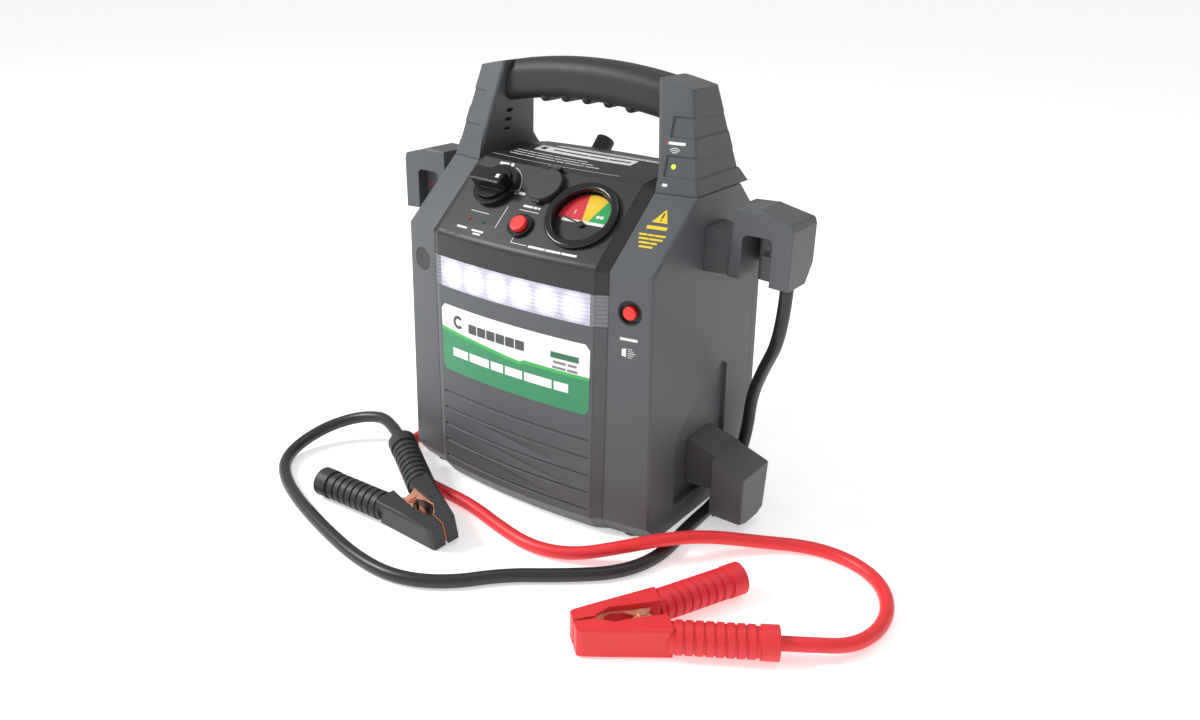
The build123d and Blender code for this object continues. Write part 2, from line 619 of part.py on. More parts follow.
# ---- main switch ---------------------------------------------------------------------------
collar_height = 6.0
collar_inner = 18.3
knob_radius = 17.6
knob_low = 0.6
knob_disc_top = 9.0
lever_top = 20.0
lever_width = 15.0
lever_left = -20.0
lever_right = 19.0
spindle_radius = 4.0
switch_body_radius = 22.0
switch_body_depth = 32.0
keep("switch_collar", ring(switch_frame, switch_radius, collar_inner, flange_gap, collar_height))
knob = disc(switch_frame, knob_radius, knob_low, knob_disc_top)
lever = Pos((lever_left + lever_right) / 2, 0, (knob_disc_top - 2 + lever_top) / 2) * Box(
    lever_right - lever_left, lever_width, lever_top - knob_disc_top + 2)
lever = fillet(lever.edges().filter_by(Axis.Z), 3.0)
lever = fillet(lever.faces().sort_by(Axis.Z)[-1].edges(), 1.5)
knob = knob + switch_frame * lever + disc(switch_frame, spindle_radius, -12, knob_low + 1)
keep("switch_knob", knob)
switch_body = disc(switch_frame, switch_body_radius, -switch_body_depth, -wall - fit_gap)
switch_body = switch_body + disc(switch_frame, switch_neck_radius, -wall - 1, 0.0)
switch_body = switch_body - disc(switch_frame, spindle_radius + slide_gap, -13, 1)
stud_offset = 11.0
stud_radius = 4.0
stud_length = 8.0
for side in (-1, 1):
    stud = Pos(side * stud_offset, 0, -switch_body_depth - stud_length / 2 + 1) * Cylinder(stud_radius, stud_length + 2)
    switch_body = switch_body + switch_frame * stud
keep("switch_body", switch_body)

# ---- 12 V outlet ---------------------------------------------------------------------------
outlet_depth = 42.0
flange_height = 2.0
hinge_up = 19.0              # the cap's hinge lies this far up the slope from the socket's axis
hinge_height = 4.4
knuckle_radius = 1.9
hinge_pin_radius = 0.9
knuckle_half = 4.0
ear_half = 7.0
socket = disc(outlet_frame, outlet_flange_radius, flange_gap, flange_height)
socket = socket + disc(outlet_frame, outlet_outer_radius, -outlet_depth - 2, flange_gap + 0.5)
socket = socket - disc(outlet_frame, outlet_bore_radius, -outlet_depth, 5)
lug = Pos(0, outlet_flange_radius, (flange_gap + flange_height) / 2) * Box(
    2 * ear_half, 2 * (hinge_up - outlet_flange_radius) + 3, flange_height - flange_gap)
socket = socket + outlet_frame * lug
for side in (-1, 1):
    ear_x = side * (knuckle_half + fit_gap + ear_half) / 2
    ear = Pos(ear_x, hinge_up, hinge_height) * Rot(0, 90, 0) * Cylinder(knuckle_radius, ear_half - knuckle_half - fit_gap)
    ear = ear + Pos(ear_x, hinge_up, (hinge_height + flange_height) / 2) * Box(
        ear_half - knuckle_half - fit_gap, 2.4, hinge_height - flange_height + 0.5)
    socket = socket + outlet_frame * ear
hinge_pin = Pos(0, hinge_up, hinge_height) * Rot(0, 90, 0) * Cylinder(hinge_pin_radius, 2 * ear_half - 1)
socket = socket + outlet_frame * hinge_pin
keep("outlet_socket", socket)
cap_low = flange_height + 0.3
cap_high = 6.3
cap_radius = 17.0
cap = Pos(0, 0, (cap_low + cap_high) / 2) * Cylinder(cap_radius, cap_high - cap_low)
cap = fillet(cap.edges().sort_by(Axis.Z)[-1], 1.2)
cap = cap - Pos(0, hinge_up, hinge_height) * Box(2 * ear_half + 1, 7.5, 10)
cap = cap + Pos(0, (hinge_up + cap_radius - 5) / 2, hinge_height) * Box(2 * knuckle_half, hinge_up - cap_radius + 5, 1.8)
cap = cap + Pos(0, hinge_up, hinge_height) * Rot(0, 90, 0) * Cylinder(knuckle_radius, 2 * knuckle_half)
cap = cap + Pos(0, -cap_radius - 0.5, cap_low + 1.4) * Box(8, 4, 2)
cap = cap - Pos(0, hinge_up, hinge_height) * Rot(0, 90, 0) * Cylinder(hinge_pin_radius + 0.05, 4 * ear_half)
keep("outlet_cap", outlet_frame * cap)

# ---- push buttons --------------------------------------------------------------------------
test_sleeve = test_button_radius + 1.0
test_collar = ring(test_frame, test_collar_radius, test_button_radius + slide_gap, flange_gap, 3.0)
test_collar = test_collar + ring(test_frame, test_sleeve, test_button_radius + slide_gap, -12, flange_gap + 0.5)
test_collar = test_collar + disc(test_frame, test_sleeve, -13.5, -12)
keep("test_button_collar", test_collar)
test_button = Pos(0, 0, 0.5) * Cylinder(test_button_radius, 13)
test_button = fillet(test_button.edges().sort_by(Axis.Z)[-1], 1.2)
keep("test_button", test_frame * test_button)
lamp_frame = upright_frame(lamp_button_x, lamp_button_z)
lamp_button_radius = 6.0
lamp_collar_flange = 13.0
lamp_collar = disc(lamp_frame, lamp_collar_flange, -8, -wall - fit_gap - 0.2)
lamp_collar = lamp_collar + ring(lamp_frame, lamp_well_radius - fit_gap, lamp_well_radius - 1.5, -5, -0.2)
lamp_collar = lamp_collar - disc(lamp_frame, lamp_button_radius + slide_gap, -9, 1)
lamp_collar = lamp_collar + disc(lamp_frame, lamp_collar_flange - 4, -14, -12.5)
lamp_collar = lamp_collar + ring(lamp_frame, lamp_collar_flange - 4, lamp_button_radius + slide_gap, -12.6, -7.5)
keep("light_button_collar", lamp_collar)
lamp_button = Pos(0, 0, -4.0) * Cylinder(lamp_button_radius, 11)
lamp_button = fillet(lamp_button.edges().sort_by(Axis.Z)[-1], 1.0)
keep("light_button", lamp_frame * lamp_button)
blank = disc(lamp_frame, lamp_well_radius - fit_gap, -wall - 1, -0.2)
blank = blank + disc(lamp_frame, lamp_collar_flange, -wall - 2.5, -wall - fit_gap - 0.2)
keep("blank_plug", mirrored(blank))

# ---- indicators ----------------------------------------------------------------------------
lamps = []
for x, up in led_spots:
    frame = console_frame(x, up)
    lamps.append(disc(frame, indicator_radius, -5, 0.6) + disc(frame, indicator_radius + 1, -5, -wall - 0.2))
tower_lamp = Pos(tower_led_spot[0], led_y - 0.6, tower_led_spot[1]) * Rot(90, 0, 0) * Cylinder(
    indicator_radius + 0.5, 5, align=(Align.CENTER, Align.CENTER, Align.MAX))
keep("indicator_lamps", solids_of(*lamps, tower_lamp))

# ---- charging inlet ------------------------------------------------------------------------
inlet_flange_radius = 10.0
spigot_radius = 6.0
spigot_top = 12.0
inlet = disc(inlet_frame, inlet_radius, -18, 0.6) + disc(inlet_frame, inlet_flange_radius, flange_gap, 2.0)
inlet = inlet + disc(inlet_frame, spigot_radius, 1, spigot_top)
inlet = inlet - disc(inlet_frame, 2.75, 0, spigot_top + 1)
keep("charge_inlet", inlet)
inlet_cap_top = 16.5
inlet_cap = ring(inlet_frame, 9.5, spigot_radius + 0.05, 2.3, spigot_top + 0.5)
inlet_cap = inlet_cap + disc(inlet_frame, 9.5, spigot_top + 0.4, inlet_cap_top)
keep("charge_inlet_cap", inlet_cap)

# ---- battery and electronics ---------------------------------------------------------------
battery_length = 181.0
battery_width = 77.0
battery_height = 167.0
battery_y = 0.0
battery_low_z = bottom_z + wall + 0.2
battery_top_z = battery_low_z + battery_height
battery = block(-battery_length / 2, battery_length / 2, battery_y - battery_width / 2, battery_y + battery_width / 2,
                battery_low_z, battery_top_z)
keep("battery", fillet(battery.edges().filter_by(Axis.Z), 3.0))
terminal_x = 75.0
terminal_y = 26.0
terminals = []
for side in (-1, 1):
    terminal = Pos(side * terminal_x, battery_y + terminal_y, battery_top_z + 7) * Box(16, 12, 14)
    terminals.append(terminal)
keep("battery_terminals", solids_of(*terminals))
strap_gap = 0.3
strap_half = battery_length / 2 + strap_gap
strap_thick = 2.0
strap_half_width = 14.0
board_half_x = 50.0
board_y_low, board_y_high = -26.0, 10.0
post_height = 12.0
strap_top = battery_top_z + strap_gap + strap_thick
strap = block(-strap_half - strap_thick, strap_half + strap_thick, battery_y - strap_half_width,
              battery_y + strap_half_width, battery_low_z, strap_top)
strap = strap - block(-strap_half, strap_half, -far, far, 0, battery_top_z + strap_gap)
for x in (-board_half_x + 5, board_half_x - 5):
    for y in (battery_y - strap_half_width + 4, battery_y + strap_half_width - 4):
        strap = strap + Pos(x, y, strap_top + post_height / 2) * Cylinder(3.0, post_height)
keep("battery_bracket", strap)
board_low = strap_top + post_height + 0.1
board = block(-board_half_x, board_half_x, board_y_low, board_y_high, board_low, board_low + board_thickness)
board = board + block(-40, -12, -20, 4, board_low + 1, board_low + 19)
board = board + block(4, 22, -22, -4, board_low + 1, board_low + 16)
for i in range(4):
    board = board + Pos(30, -20 + 8 * i, board_low + 6) * Cylinder(3.2, 10)
keep("control_board", board)
sounder_z = 343.0
sounder_radius = 11.0
lean_angle = math.atan(lean)
face_x = tower_inner_x_low - lean * (sounder_z - tower_lean_z)
sounder_frame = Plane(origin=(-face_x - wall * math.cos(lean_angle), handle_y - 7.0, sounder_z + wall * math.sin(lean_angle)),
                      x_dir=(0, 1, 0), z_dir=(-math.cos(lean_angle), 0, math.sin(lean_angle)))
sounder = disc(sounder_frame, sounder_radius, 0.1, 9.0)
keep("alarm_sounder", sounder)


def tube(points, radius, radii):
    """A round tube along straight runs joined by tangent arcs."""
    path = FilletPolyline(*points, radius=radii)
    start = Vector(*points[0])
    ahead = Vector(*points[1]) - start
    section = Plane(origin=start, z_dir=ahead) * Circle(radius)
    return sweep(section, path=path)


def arc_radii(points):
    """The arc at each corner: 0.45 of the shorter run over the tangent of half the turn."""
    radii = []
    for before, here, after in zip(points, points[1:], points[2:]):
        a = Vector(*here) - Vector(*before)
        b = Vector(*after) - Vector(*here)
        half_turn = math.radians(a.get_angle(b)) / 2
        radii.append(0.45 * min(a.length, b.length) / math.tan(half_turn))
    return radii


lead_radius = 5.0
lead_top = battery_top_z + 14.0
stud_left = switch_frame * Pos(-stud_offset, 0, -switch_body_depth - stud_length) * Vertex(0, 0, 0)
stud_right = switch_frame * Pos(stud_offset, 0, -switch_body_depth - stud_length) * Vertex(0, 0, 0)
below_right = switch_frame * Pos(stud_offset, 0, -switch_body_depth - stud_length - 22) * Vertex(0, 0, 0)
below_left = switch_frame * Pos(-stud_offset, 0, -switch_body_depth - stud_length - 22) * Vertex(0, 0, 0)
plus_route = [(-terminal_x, terminal_y, lead_top), (-terminal_x, terminal_y, lead_top + 22),
              tuple(below_right.center()), tuple(stud_right.center())]
wall_x = waist_half_width - wall - 0.1
feed_route = [tuple(stud_left.center()), tuple(below_left.center()), (-108.0, 0.0, 262.0), (-wall_x, 0.0, 262.0)]
minus_route = [(terminal_x, terminal_y, lead_top), (terminal_x, terminal_y, lead_top + 26),
               (106.0, 0.0, 262.0), (wall_x, 0.0, 262.0)]
keep("positive_leads", solids_of(tube(plus_route, lead_radius, arc_radii(plus_route)),
                                 tube(feed_route, lead_radius, arc_radii(feed_route))))
keep("negative_lead", tube(minus_route, lead_radius, arc_radii(minus_route)))

# ---- feet ----------------------------------------------------------------------------------
foot_radius = 9.0
foot_spots = [(-118.0, -78.0), (118.0, -78.0), (-118.0, 66.0), (118.0, 66.0)]
feet = []
for x, y in foot_spots:
    feet.append(Pos(x, y, foot_height / 2) * Cylinder(foot_radius, foot_height))
keep("feet", solids_of(*feet))

# ---- clamps: driving dimensions, in the clamp's own frame ------------------------------------
# x runs towards the handles, the pivot stands on z at the origin, the halves mirror in y.
jaw_tip_x = -55.0
shell_rear_x = 18.0
shell_half_height = 13.5
tip_half_height = 11.8
handle_turn = 16.7           # each handle leans this far out, degrees
handle_start = (16.0, 19.2)
handle_length = 85.0
handle_radius = 12.3
handle_rib_radius = 13.5
handle_end_radius = 14.0
handle_end_length = 14.0
rib_count = 8
rib_width = 5.6
rib_pitch = 8.0
rib_first = 8.0
pin_radius = 2.5
lug_radius = 5.5
lug_thick = 1.5
fixed_lug_z = 9.0
moving_lug_z = 7.2
plate_fit = 0.1
tooth_pitch = 3.0
tooth_height = 1.0
tooth_count = 6
jaw_half_height = 10.5
cable_bore = cable_radius + 0.15
cable_bore_depth = 12.0
spring_wire = 0.8
spring_radius = 4.0
spring_turns = 4
spring_pitch = 2.2


def clamp_plan(points, low, high):
    """An outline in the clamp's x and y, between two heights."""
    return extrude(Pos(0, 0, low) * make_face(Polyline(*points, close=True)), high - low, dir=(0, 0, 1))


shell_outline = [(jaw_tip_x, 1.3), (jaw_tip_x, 12.0), (-51, 14.5), (14, 29.0), (shell_rear_x, 27.0),
                 (shell_rear_x, 8.5), (12, 8.5), (-14, 8.5), (-24, 9.5), (-37, 2.6), (-37, 1.3)]
shell_side = [(jaw_tip_x - 1, -tip_half_height), (-15, -shell_half_height), (shell_rear_x + 1, -shell_half_height),
              (shell_rear_x + 1, shell_half_height), (-15, shell_half_height), (jaw_tip_x - 1, tip_half_height)]
plate_outline = [(-52, 2.0), (-37, 2.0), (-24, 8.5), (-13, 7.0), (-5, 1.5), (5, 1.5), (10, 9.0), (10, 14.0),
                 (-24, 14.0), (-52, 8.0)]


def handle_axis_point(distance):
    """A point of the handle's axis this far from its root, for the half at +y."""
    turn = math.radians(handle_turn)
    return (handle_start[0] + distance * math.cos(turn), handle_start[1] + distance * math.sin(turn))


def clamp_grip():
    """The insulated half at +y: jaw cover and ribbed handle."""
    side = extrude(Plane(origin=(0, 0, 0), x_dir=(1, 0, 0), z_dir=(0, -1, 0)) * make_face(Polyline(*shell_side, close=True)),
                   40, both=True)
    shell = clamp_plan(shell_outline, -shell_half_height, shell_half_height)
    shell = fillet([e for e in shell.edges() if e.length > 55 and e.center().Y > 15], 3.0) & side
    root = Pos(*handle_start, 0) * Rot(0, 0, handle_turn) * Rot(0, 90, 0)
    handle = root * Cylinder(handle_radius, handle_length, align=(Align.CENTER, Align.CENTER, Align.MIN))
    for i in range(rib_count):
        handle = handle + root * Pos(0, 0, rib_first + rib_pitch * i) * Cylinder(handle_rib_radius, rib_width)
    handle = handle + root * Pos(0, 0, handle_length) * Cylinder(
        handle_end_radius, handle_end_length, align=(Align.CENTER, Align.CENTER, Align.MAX))
    return shell + handle


def lug_plates(low):
    """The two copper side plates of a jaw, with the pivot hole."""
    plates = []
    for sign in (-1, 1):
        start = low if sign > 0 else -low - lug_thick
        plate = clamp_plan(plate_outline, start, start + lug_thick)
        plates.append(plate + Pos(0, 0, start + lug_thick / 2) * Cylinder(lug_radius, lug_thick))
    return plates


def jaw_strip():
    """The toothed copper strip along the mating face, at +y."""
    points = [(-53.5, 2.2)]
    for i in range(tooth_count):
        x = -53.5 + tooth_pitch * i
        points.append((x, 0.3 + tooth_height))
        points.append((x + tooth_pitch / 2, 0.3))
    points.append((-53.5 + tooth_pitch * tooth_count, 0.3 + tooth_height))
    points.append((-29, 6.2))
    points.append((-30, 7.4))
    points.append((-36.5, 3.8))
    points.append((-53.5, 3.8))
    return clamp_plan(points, -jaw_half_height, jaw_half_height)


def clamp_jaw(low, hole):
    """One copper jaw at +y: toothed strip, side plates and lugs."""
    jaw = jaw_strip()
    for plate in lug_plates(low):
        jaw = jaw + plate
    return jaw - Cylinder(hole, 40)


def clamp_slots(low):
    """What a grip gives up to its copper jaw."""
    cuts = []
    for sign in (-1, 1):
        start = low if sign > 0 else -low - lug_thick
        grown = offset(make_face(Polyline(*plate_outline, close=True)), plate_fit)
        cuts.append(extrude(Pos(0, 0, start - plate_fit) * grown, lug_thick + 2 * plate_fit, dir=(0, 0, 1)))
    strip = [(jaw_tip_x + 1.3, 0), (jaw_tip_x + 1.3, 3.9), (-36.6, 3.9), (-29.5, 8.2), (-20, 8.2), (-20, 0)]
    cuts.append(clamp_plan(strip, -jaw_half_height - plate_fit, jaw_half_height + plate_fit))
    return cuts


def clamp(colour, place):
    """The pieces of one clamp, moved to their place."""
    grip = clamp_grip()
    moving_grip = grip
    for cut in clamp_slots(moving_lug_z):
        moving_grip = moving_grip - cut
    fixed_grip = grip
    for cut in clamp_slots(fixed_lug_z):
        fixed_grip = fixed_grip - cut
    end = handle_axis_point(handle_length)
    bore_frame = Pos(*end, 0) * Rot(0, 0, handle_turn) * Rot(0, 90, 0)
    fixed_grip = fixed_grip - bore_frame * Cylinder(cable_bore, 2 * cable_bore_depth)
    fixed_grip = fixed_grip - bore_frame * Cylinder(handle_end_radius - 3.5, 8)
    flip = Plane.XZ
    keep(f"{colour}_clamp_fixed_grip", place * mirror(fixed_grip, about=flip))
    keep(f"{colour}_clamp_moving_grip", place * moving_grip)
    keep(f"{colour}_clamp_fixed_jaw", place * mirror(clamp_jaw(fixed_lug_z, pin_radius + 0.02), about=flip))
    keep(f"{colour}_clamp_moving_jaw", place * clamp_jaw(moving_lug_z, pin_radius + 0.06))
    pin = Cylinder(pin_radius, 2 * jaw_half_height)
    pin = pin + Pos(0, 0, jaw_half_height + 0.6) * Cylinder(4.0, 1.2) + Pos(0, 0, -jaw_half_height - 0.6) * Cylinder(4.0, 1.2)
    keep(f"{colour}_clamp_pivot", place * pin)
    coil_height = spring_pitch * spring_turns
    helix = Helix(spring_pitch, coil_height, spring_radius)
    start = Plane(origin=helix @ 0, z_dir=helix % 0)
    wire = sweep(start * Circle(spring_wire), path=helix, is_frenet=True)
    keep(f"{colour}_clamp_spring", place * Pos(0, 0, -coil_height / 2) * wire)


red_clamp_place = Location((211.0, -204.5, 14.2), (0, 0, 49.0))
black_clamp_place = Location((-52.0, -192.0, 17.9), (11.0, 0, 165.0))
clamp("red", red_clamp_place)
clamp("black", black_clamp_place)


# ---- booster cables ------------------------------------------------------------------------
def beyond_handle(place, distance):
    """A point on the fixed handle's axis, this far out of its end."""
    x, y = handle_axis_point(handle_length + distance)
    return tuple((place * Vertex(x, -y, 0)).center())


floor_z = cable_radius
cable_end_depth = 10.0
black_route = [(cable_exit_x, 0.0, 250.0), (cable_exit_x, 0.0, 196.0), (178.0, 40.0, 138.0), (160.0, 60.0, 100.0), (158.0, 61.0, 62.0),
               (158.0, 42.0, 25.0), (158.0, 9.0, floor_z), (159.5, -50.0, floor_z), (166.0, -105.0, floor_z),
               (152.0, -148.0, floor_z), (113.0, -183.0, floor_z), (75.0, -211.0, floor_z), (44.0, -250.0, floor_z),
               (4.0, -271.0, floor_z), (-45.0, -270.0, floor_z), (-100.0, -257.0, floor_z), (-153.0, -241.0, floor_z),
               (-202.0, -220.5, floor_z), (-235.0, -196.5, 6.5), (-247.0, -162.5, 11.0), (-237.0, -128.0, 21.0),
               (-210.0, -104.5, 30.0)]
black_route = black_route + [beyond_handle(black_clamp_place, 45.0), beyond_handle(black_clamp_place, -cable_end_depth)]
red_route = [(-cable_exit_x, 0.0, 250.0), (-cable_exit_x, 0.0, 196.0), (-178.0, 40.0, 138.0), (-160.0, 60.0, 100.0), (-158.0, 61.0, 62.0),
             (-158.0, 42.0, 25.0), (-158.0, 9.0, floor_z), (-162.0, -34.0, floor_z), (-168.0, -74.0, floor_z),
             (-151.7, -110.6, floor_z), (-119.8, -134.6, floor_z), (-72.0, -141.0, floor_z), (-25.0, -143.0, floor_z),
             (25.0, -157.0, floor_z), (68.0, -164.0, floor_z), (106.0, -153.0, 8.0), (142.0, -128.0, 18.0),
             (168.0, -99.0, 22.0), (193.0, -69.0, 19.0), (226.0, -35.0, 9.0), (265.0, -9.0, floor_z),
             (303.0, -7.0, floor_z), (335.5, -22.0, floor_z), (356.0, -52.0, floor_z), (361.0, -88.0, floor_z),
             (352.0, -122.0, 9.0)]
red_route = red_route + [beyond_handle(red_clamp_place, 26.0), beyond_handle(red_clamp_place, -cable_end_depth)]
keep("black_cable", tube(black_route, cable_radius, arc_radii(black_route)))
keep("red_cable", tube(red_route, cable_radius, arc_radii(red_route)))
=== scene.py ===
"""Looks for the jump starter pack: camera, studio light, cables, procedural materials
and printed markings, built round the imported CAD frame. Metres, +Z up."""
import math

import bpy
from mathutils import Matrix, Vector


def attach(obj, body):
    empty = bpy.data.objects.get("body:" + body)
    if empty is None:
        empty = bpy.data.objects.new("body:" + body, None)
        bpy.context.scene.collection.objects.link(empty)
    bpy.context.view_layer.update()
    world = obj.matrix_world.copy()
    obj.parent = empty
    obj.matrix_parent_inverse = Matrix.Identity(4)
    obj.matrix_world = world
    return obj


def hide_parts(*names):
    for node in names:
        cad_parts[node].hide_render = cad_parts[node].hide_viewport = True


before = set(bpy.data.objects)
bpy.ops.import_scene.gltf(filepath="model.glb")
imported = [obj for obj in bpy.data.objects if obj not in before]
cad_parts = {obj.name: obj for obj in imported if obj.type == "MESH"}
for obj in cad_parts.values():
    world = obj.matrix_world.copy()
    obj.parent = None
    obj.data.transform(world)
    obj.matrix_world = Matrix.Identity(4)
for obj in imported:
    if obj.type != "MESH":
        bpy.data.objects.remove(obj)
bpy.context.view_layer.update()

# ---- camera ------------------------------------------------------------------------------------
# A 30 mm lens at about 0.9 m, a little above the console and to the right of the pack, so that
# the console, the lamp, the right side and both clamps are seen.
right = Vector((0.8111, 0.5844, 0.0236))
up = Vector((-0.2452, 0.3030, 0.9208))
back = right.cross(up)
camera = bpy.data.objects.new("camera", bpy.data.cameras.new("camera"))
bpy.context.scene.collection.objects.link(camera)
camera.data.lens = 30.43
camera.data.sensor_width = 36.0
turned = Matrix((right, up, back)).transposed().to_4x4()
camera.matrix_world = Matrix.Translation((0.5566, -0.7602, 0.5142)) @ turned
camera.data.clip_end = 200.0
bpy.context.scene.camera = camera

# ---- booster cables ----------------------------------------------------------------------------
# Two flexible rubber cables, 12 mm thick. Each leaves the underside of its holder, goes down
# behind the wrap hook and under its arm, and lies on the floor to its clamp. The red one crosses
# the black one in a low hump beside the case.


def linear(code):
    """A hex colour as linear RGBA."""
    values = [int(code[i:i + 2], 16) / 255 for i in (1, 3, 5)]
    return [v / 12.92 if v <= 0.04045 else ((v + 0.055) / 1.055) ** 2.4 for v in values] + [1.0]


def node(tree, kind, *links, **sockets):
    """Adds a node, sets sockets by name and links (socket name, source output) pairs."""
    made = tree.nodes.new(kind)
    for name, value in sockets.items():
        made.inputs[name.replace("_", " ")].default_value = value
    for name, source in links:
        tree.links.new(source, made.inputs[name])
    return made


def plain(name, code, rough, grain=0.0, depth=0.0, metal=0.0, edge=0.0005):
    """A moulded or coated surface: its colour and roughness vary a little, and it has a fine grain.

    grain is the grain's width, depth its height and edge the radius of a softened edge, in metres.
    """
    material = bpy.data.materials.new(name)
    material.use_nodes = True
    tree = material.node_tree
    shader = tree.nodes["Principled BSDF"]
    place = node(tree, "ShaderNodeTexCoord")
    broad = node(tree, "ShaderNodeTexNoise", ("Vector", place.outputs["Object"]), Scale=35.0, Detail=3.0)
    tint = node(tree, "ShaderNodeMixRGB", ("Fac", broad.outputs["Fac"]))
    base = linear(code)
    tint.inputs["Color1"].default_value = [c * 0.93 for c in base[:3]] + [1.0]
    tint.inputs["Color2"].default_value = [min(1.0, c * 1.07) for c in base[:3]] + [1.0]
    tree.links.new(tint.outputs["Color"], shader.inputs["Base Color"])
    spread = node(tree, "ShaderNodeMapRange", ("Value", broad.outputs["Fac"]))
    spread.inputs["To Min"].default_value = rough - 0.04
    spread.inputs["To Max"].default_value = rough + 0.04
    tree.links.new(spread.outputs["Result"], shader.inputs["Roughness"])
    shader.inputs["Metallic"].default_value = metal
    rounded = node(tree, "ShaderNodeBevel", Radius=edge)
    rounded.samples = 4
    normal = rounded.outputs["Normal"]
    if grain > 0:
        fine = node(tree, "ShaderNodeTexNoise", ("Vector", place.outputs["Object"]), Scale=1.0 / grain,
                    Detail=2.0)
        bump = node(tree, "ShaderNodeBump", ("Height", fine.outputs["Fac"]), ("Normal", normal),
                    Strength=1.0, Distance=depth)
        normal = bump.outputs["Normal"]
    tree.links.new(normal, shader.inputs["Normal"])
    return material


black_points = [(0.213, 0, 0.25), (0.213, 0, 0.196), (0.178, 0.04, 0.138), (0.16, 0.06, 0.1),
                (0.158, 0.061, 0.062), (0.158, 0.042, 0.025), (0.158, 0.009, 0.006),
                (0.1595, -0.05, 0.006), (0.166, -0.105, 0.006), (0.152, -0.148, 0.006),
                (0.113, -0.183, 0.006), (0.075, -0.211, 0.006), (0.044, -0.25, 0.006),
                (0.004, -0.271, 0.006), (-0.045, -0.27, 0.006), (-0.1, -0.257, 0.006),
                (-0.153, -0.241, 0.006), (-0.202, -0.2205, 0.006), (-0.235, -0.1965, 0.0065),
                (-0.247, -0.1625, 0.011), (-0.237, -0.128, 0.021), (-0.21, -0.1045, 0.03),
                (-0.1731, -0.1027, 0.0353), (-0.1263, -0.131, 0.0297)]
red_points = [(-0.213, 0, 0.25), (-0.213, 0, 0.196), (-0.178, 0.04, 0.138), (-0.16, 0.06, 0.1),
              (-0.158, 0.061, 0.062), (-0.158, 0.042, 0.025), (-0.158, 0.009, 0.006),
              (-0.162, -0.034, 0.006), (-0.168, -0.074, 0.006), (-0.1517, -0.1106, 0.006),
              (-0.1198, -0.1346, 0.006), (-0.072, -0.141, 0.006), (-0.025, -0.143, 0.006),
              (0.025, -0.157, 0.006), (0.068, -0.164, 0.006), (0.106, -0.153, 0.008),
              (0.142, -0.128, 0.018), (0.168, -0.099, 0.022), (0.193, -0.069, 0.019),
              (0.226, -0.035, 0.009), (0.265, -0.009, 0.006), (0.303, -0.007, 0.006),
              (0.3355, -0.022, 0.006), (0.356, -0.052, 0.006), (0.361, -0.088, 0.006),
              (0.352, -0.122, 0.009), (0.3298, -0.1457, 0.0142), (0.2994, -0.1649, 0.0142)]
red_rubber = plain("cable rubber, red", "#EE3237", 0.42, 0.0009, 0.00004)
black_rubber = plain("cable rubber, black", "#26282A", 0.36, 0.0009, 0.00004)
for colour, points, rubber in (("red", red_points, red_rubber), ("black", black_points, black_rubber)):
    curve = bpy.data.curves.new(f"{colour}_cable_line", "CURVE")
    curve.dimensions = "3D"
    line = curve.splines.new("NURBS")
    line.points.add(len(points) - 1)
    for point, here in zip(line.points, points):
        point.co = (*here, 1.0)
    line.order_u = 3
    line.use_endpoint_u = True
    line.resolution_u = 10
    curve.bevel_depth = 0.006
    curve.bevel_resolution = 8
    curve.materials.append(rubber)
    cable = bpy.data.objects.new(f"{colour}_cable_skin", curve)
    bpy.context.scene.collection.objects.link(cable)
    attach(cable, "case")
    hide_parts(f"{colour}_cable")

# ---- floor and studio light --------------------------------------------------------------------
# A pale seamless floor, one broad soft light above and to the left, a weaker one at the front
# right, and an even white surround.
floor_mesh = bpy.data.meshes.new("floor")
floor_mesh.from_pydata([(-30, -30, 0), (30, -30, 0), (30, 60, 0), (-30, 60, 0)], [], [(0, 1, 2, 3)])
floor = bpy.data.objects.new("floor", floor_mesh)
bpy.context.scene.collection.objects.link(floor)
card = plain("floor card", "#F6F6F6", 0.9)
card.node_tree.nodes["Principled BSDF"].inputs["Emission Color"].default_value = (1.0, 1.0, 1.0, 1.0)
card.node_tree.nodes["Principled BSDF"].inputs["Emission Strength"].default_value = 0.45
floor_mesh.materials.append(card)
world = bpy.data.worlds.new("surround")
world.use_nodes = True
world.node_tree.nodes["Background"].inputs["Color"].default_value = (1.0, 1.0, 1.0, 1.0)
seen = node(world.node_tree, "ShaderNodeLightPath")
wide = node(world.node_tree, "ShaderNodeMapRange", ("Value", seen.outputs["Is Camera Ray"]))
wide.inputs["To Min"].default_value = 0.52
wide.inputs["To Max"].default_value = 1.0
world.node_tree.links.new(wide.outputs["Result"], world.node_tree.nodes["Background"].inputs["Strength"])
bpy.context.scene.world = world
for name, spot, size, power in (("key", (-1.5, -1.2, 1.7), 0.7, 46.0),
                                ("fill", (1.6, -1.4, 1.2), 1.4, 2.0),
                                ("top", (0.3, 0.5, 2.2), 1.2, 7.0)):
    lamp = bpy.data.lights.new(name, "AREA")
    lamp.size = size
    lamp.energy = power
    light = bpy.data.objects.new(name, lamp)
    bpy.context.scene.collection.objects.link(light)
    light.location = spot
    light.rotation_mode = "QUATERNION"
    light.rotation_quaternion = (Vector((0, 0, 0.15)) - Vector(spot)).to_track_quat("-Z", "Y")
bpy.context.scene.view_settings.view_transform = "Standard"

# ---- case --------------------------------------------------------------------------------------
# Injection-moulded grey plastic with a fine spark texture: side shells, front panel, rear cover,
# handle towers, cable holders and wrap hooks.


def dress(material, *names):
    """Puts one material on CAD nodes or pieces."""
    for name in names:
        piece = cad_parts.get(name) or bpy.data.objects[name]
        piece.data.materials.clear()
        piece.data.materials.append(material)


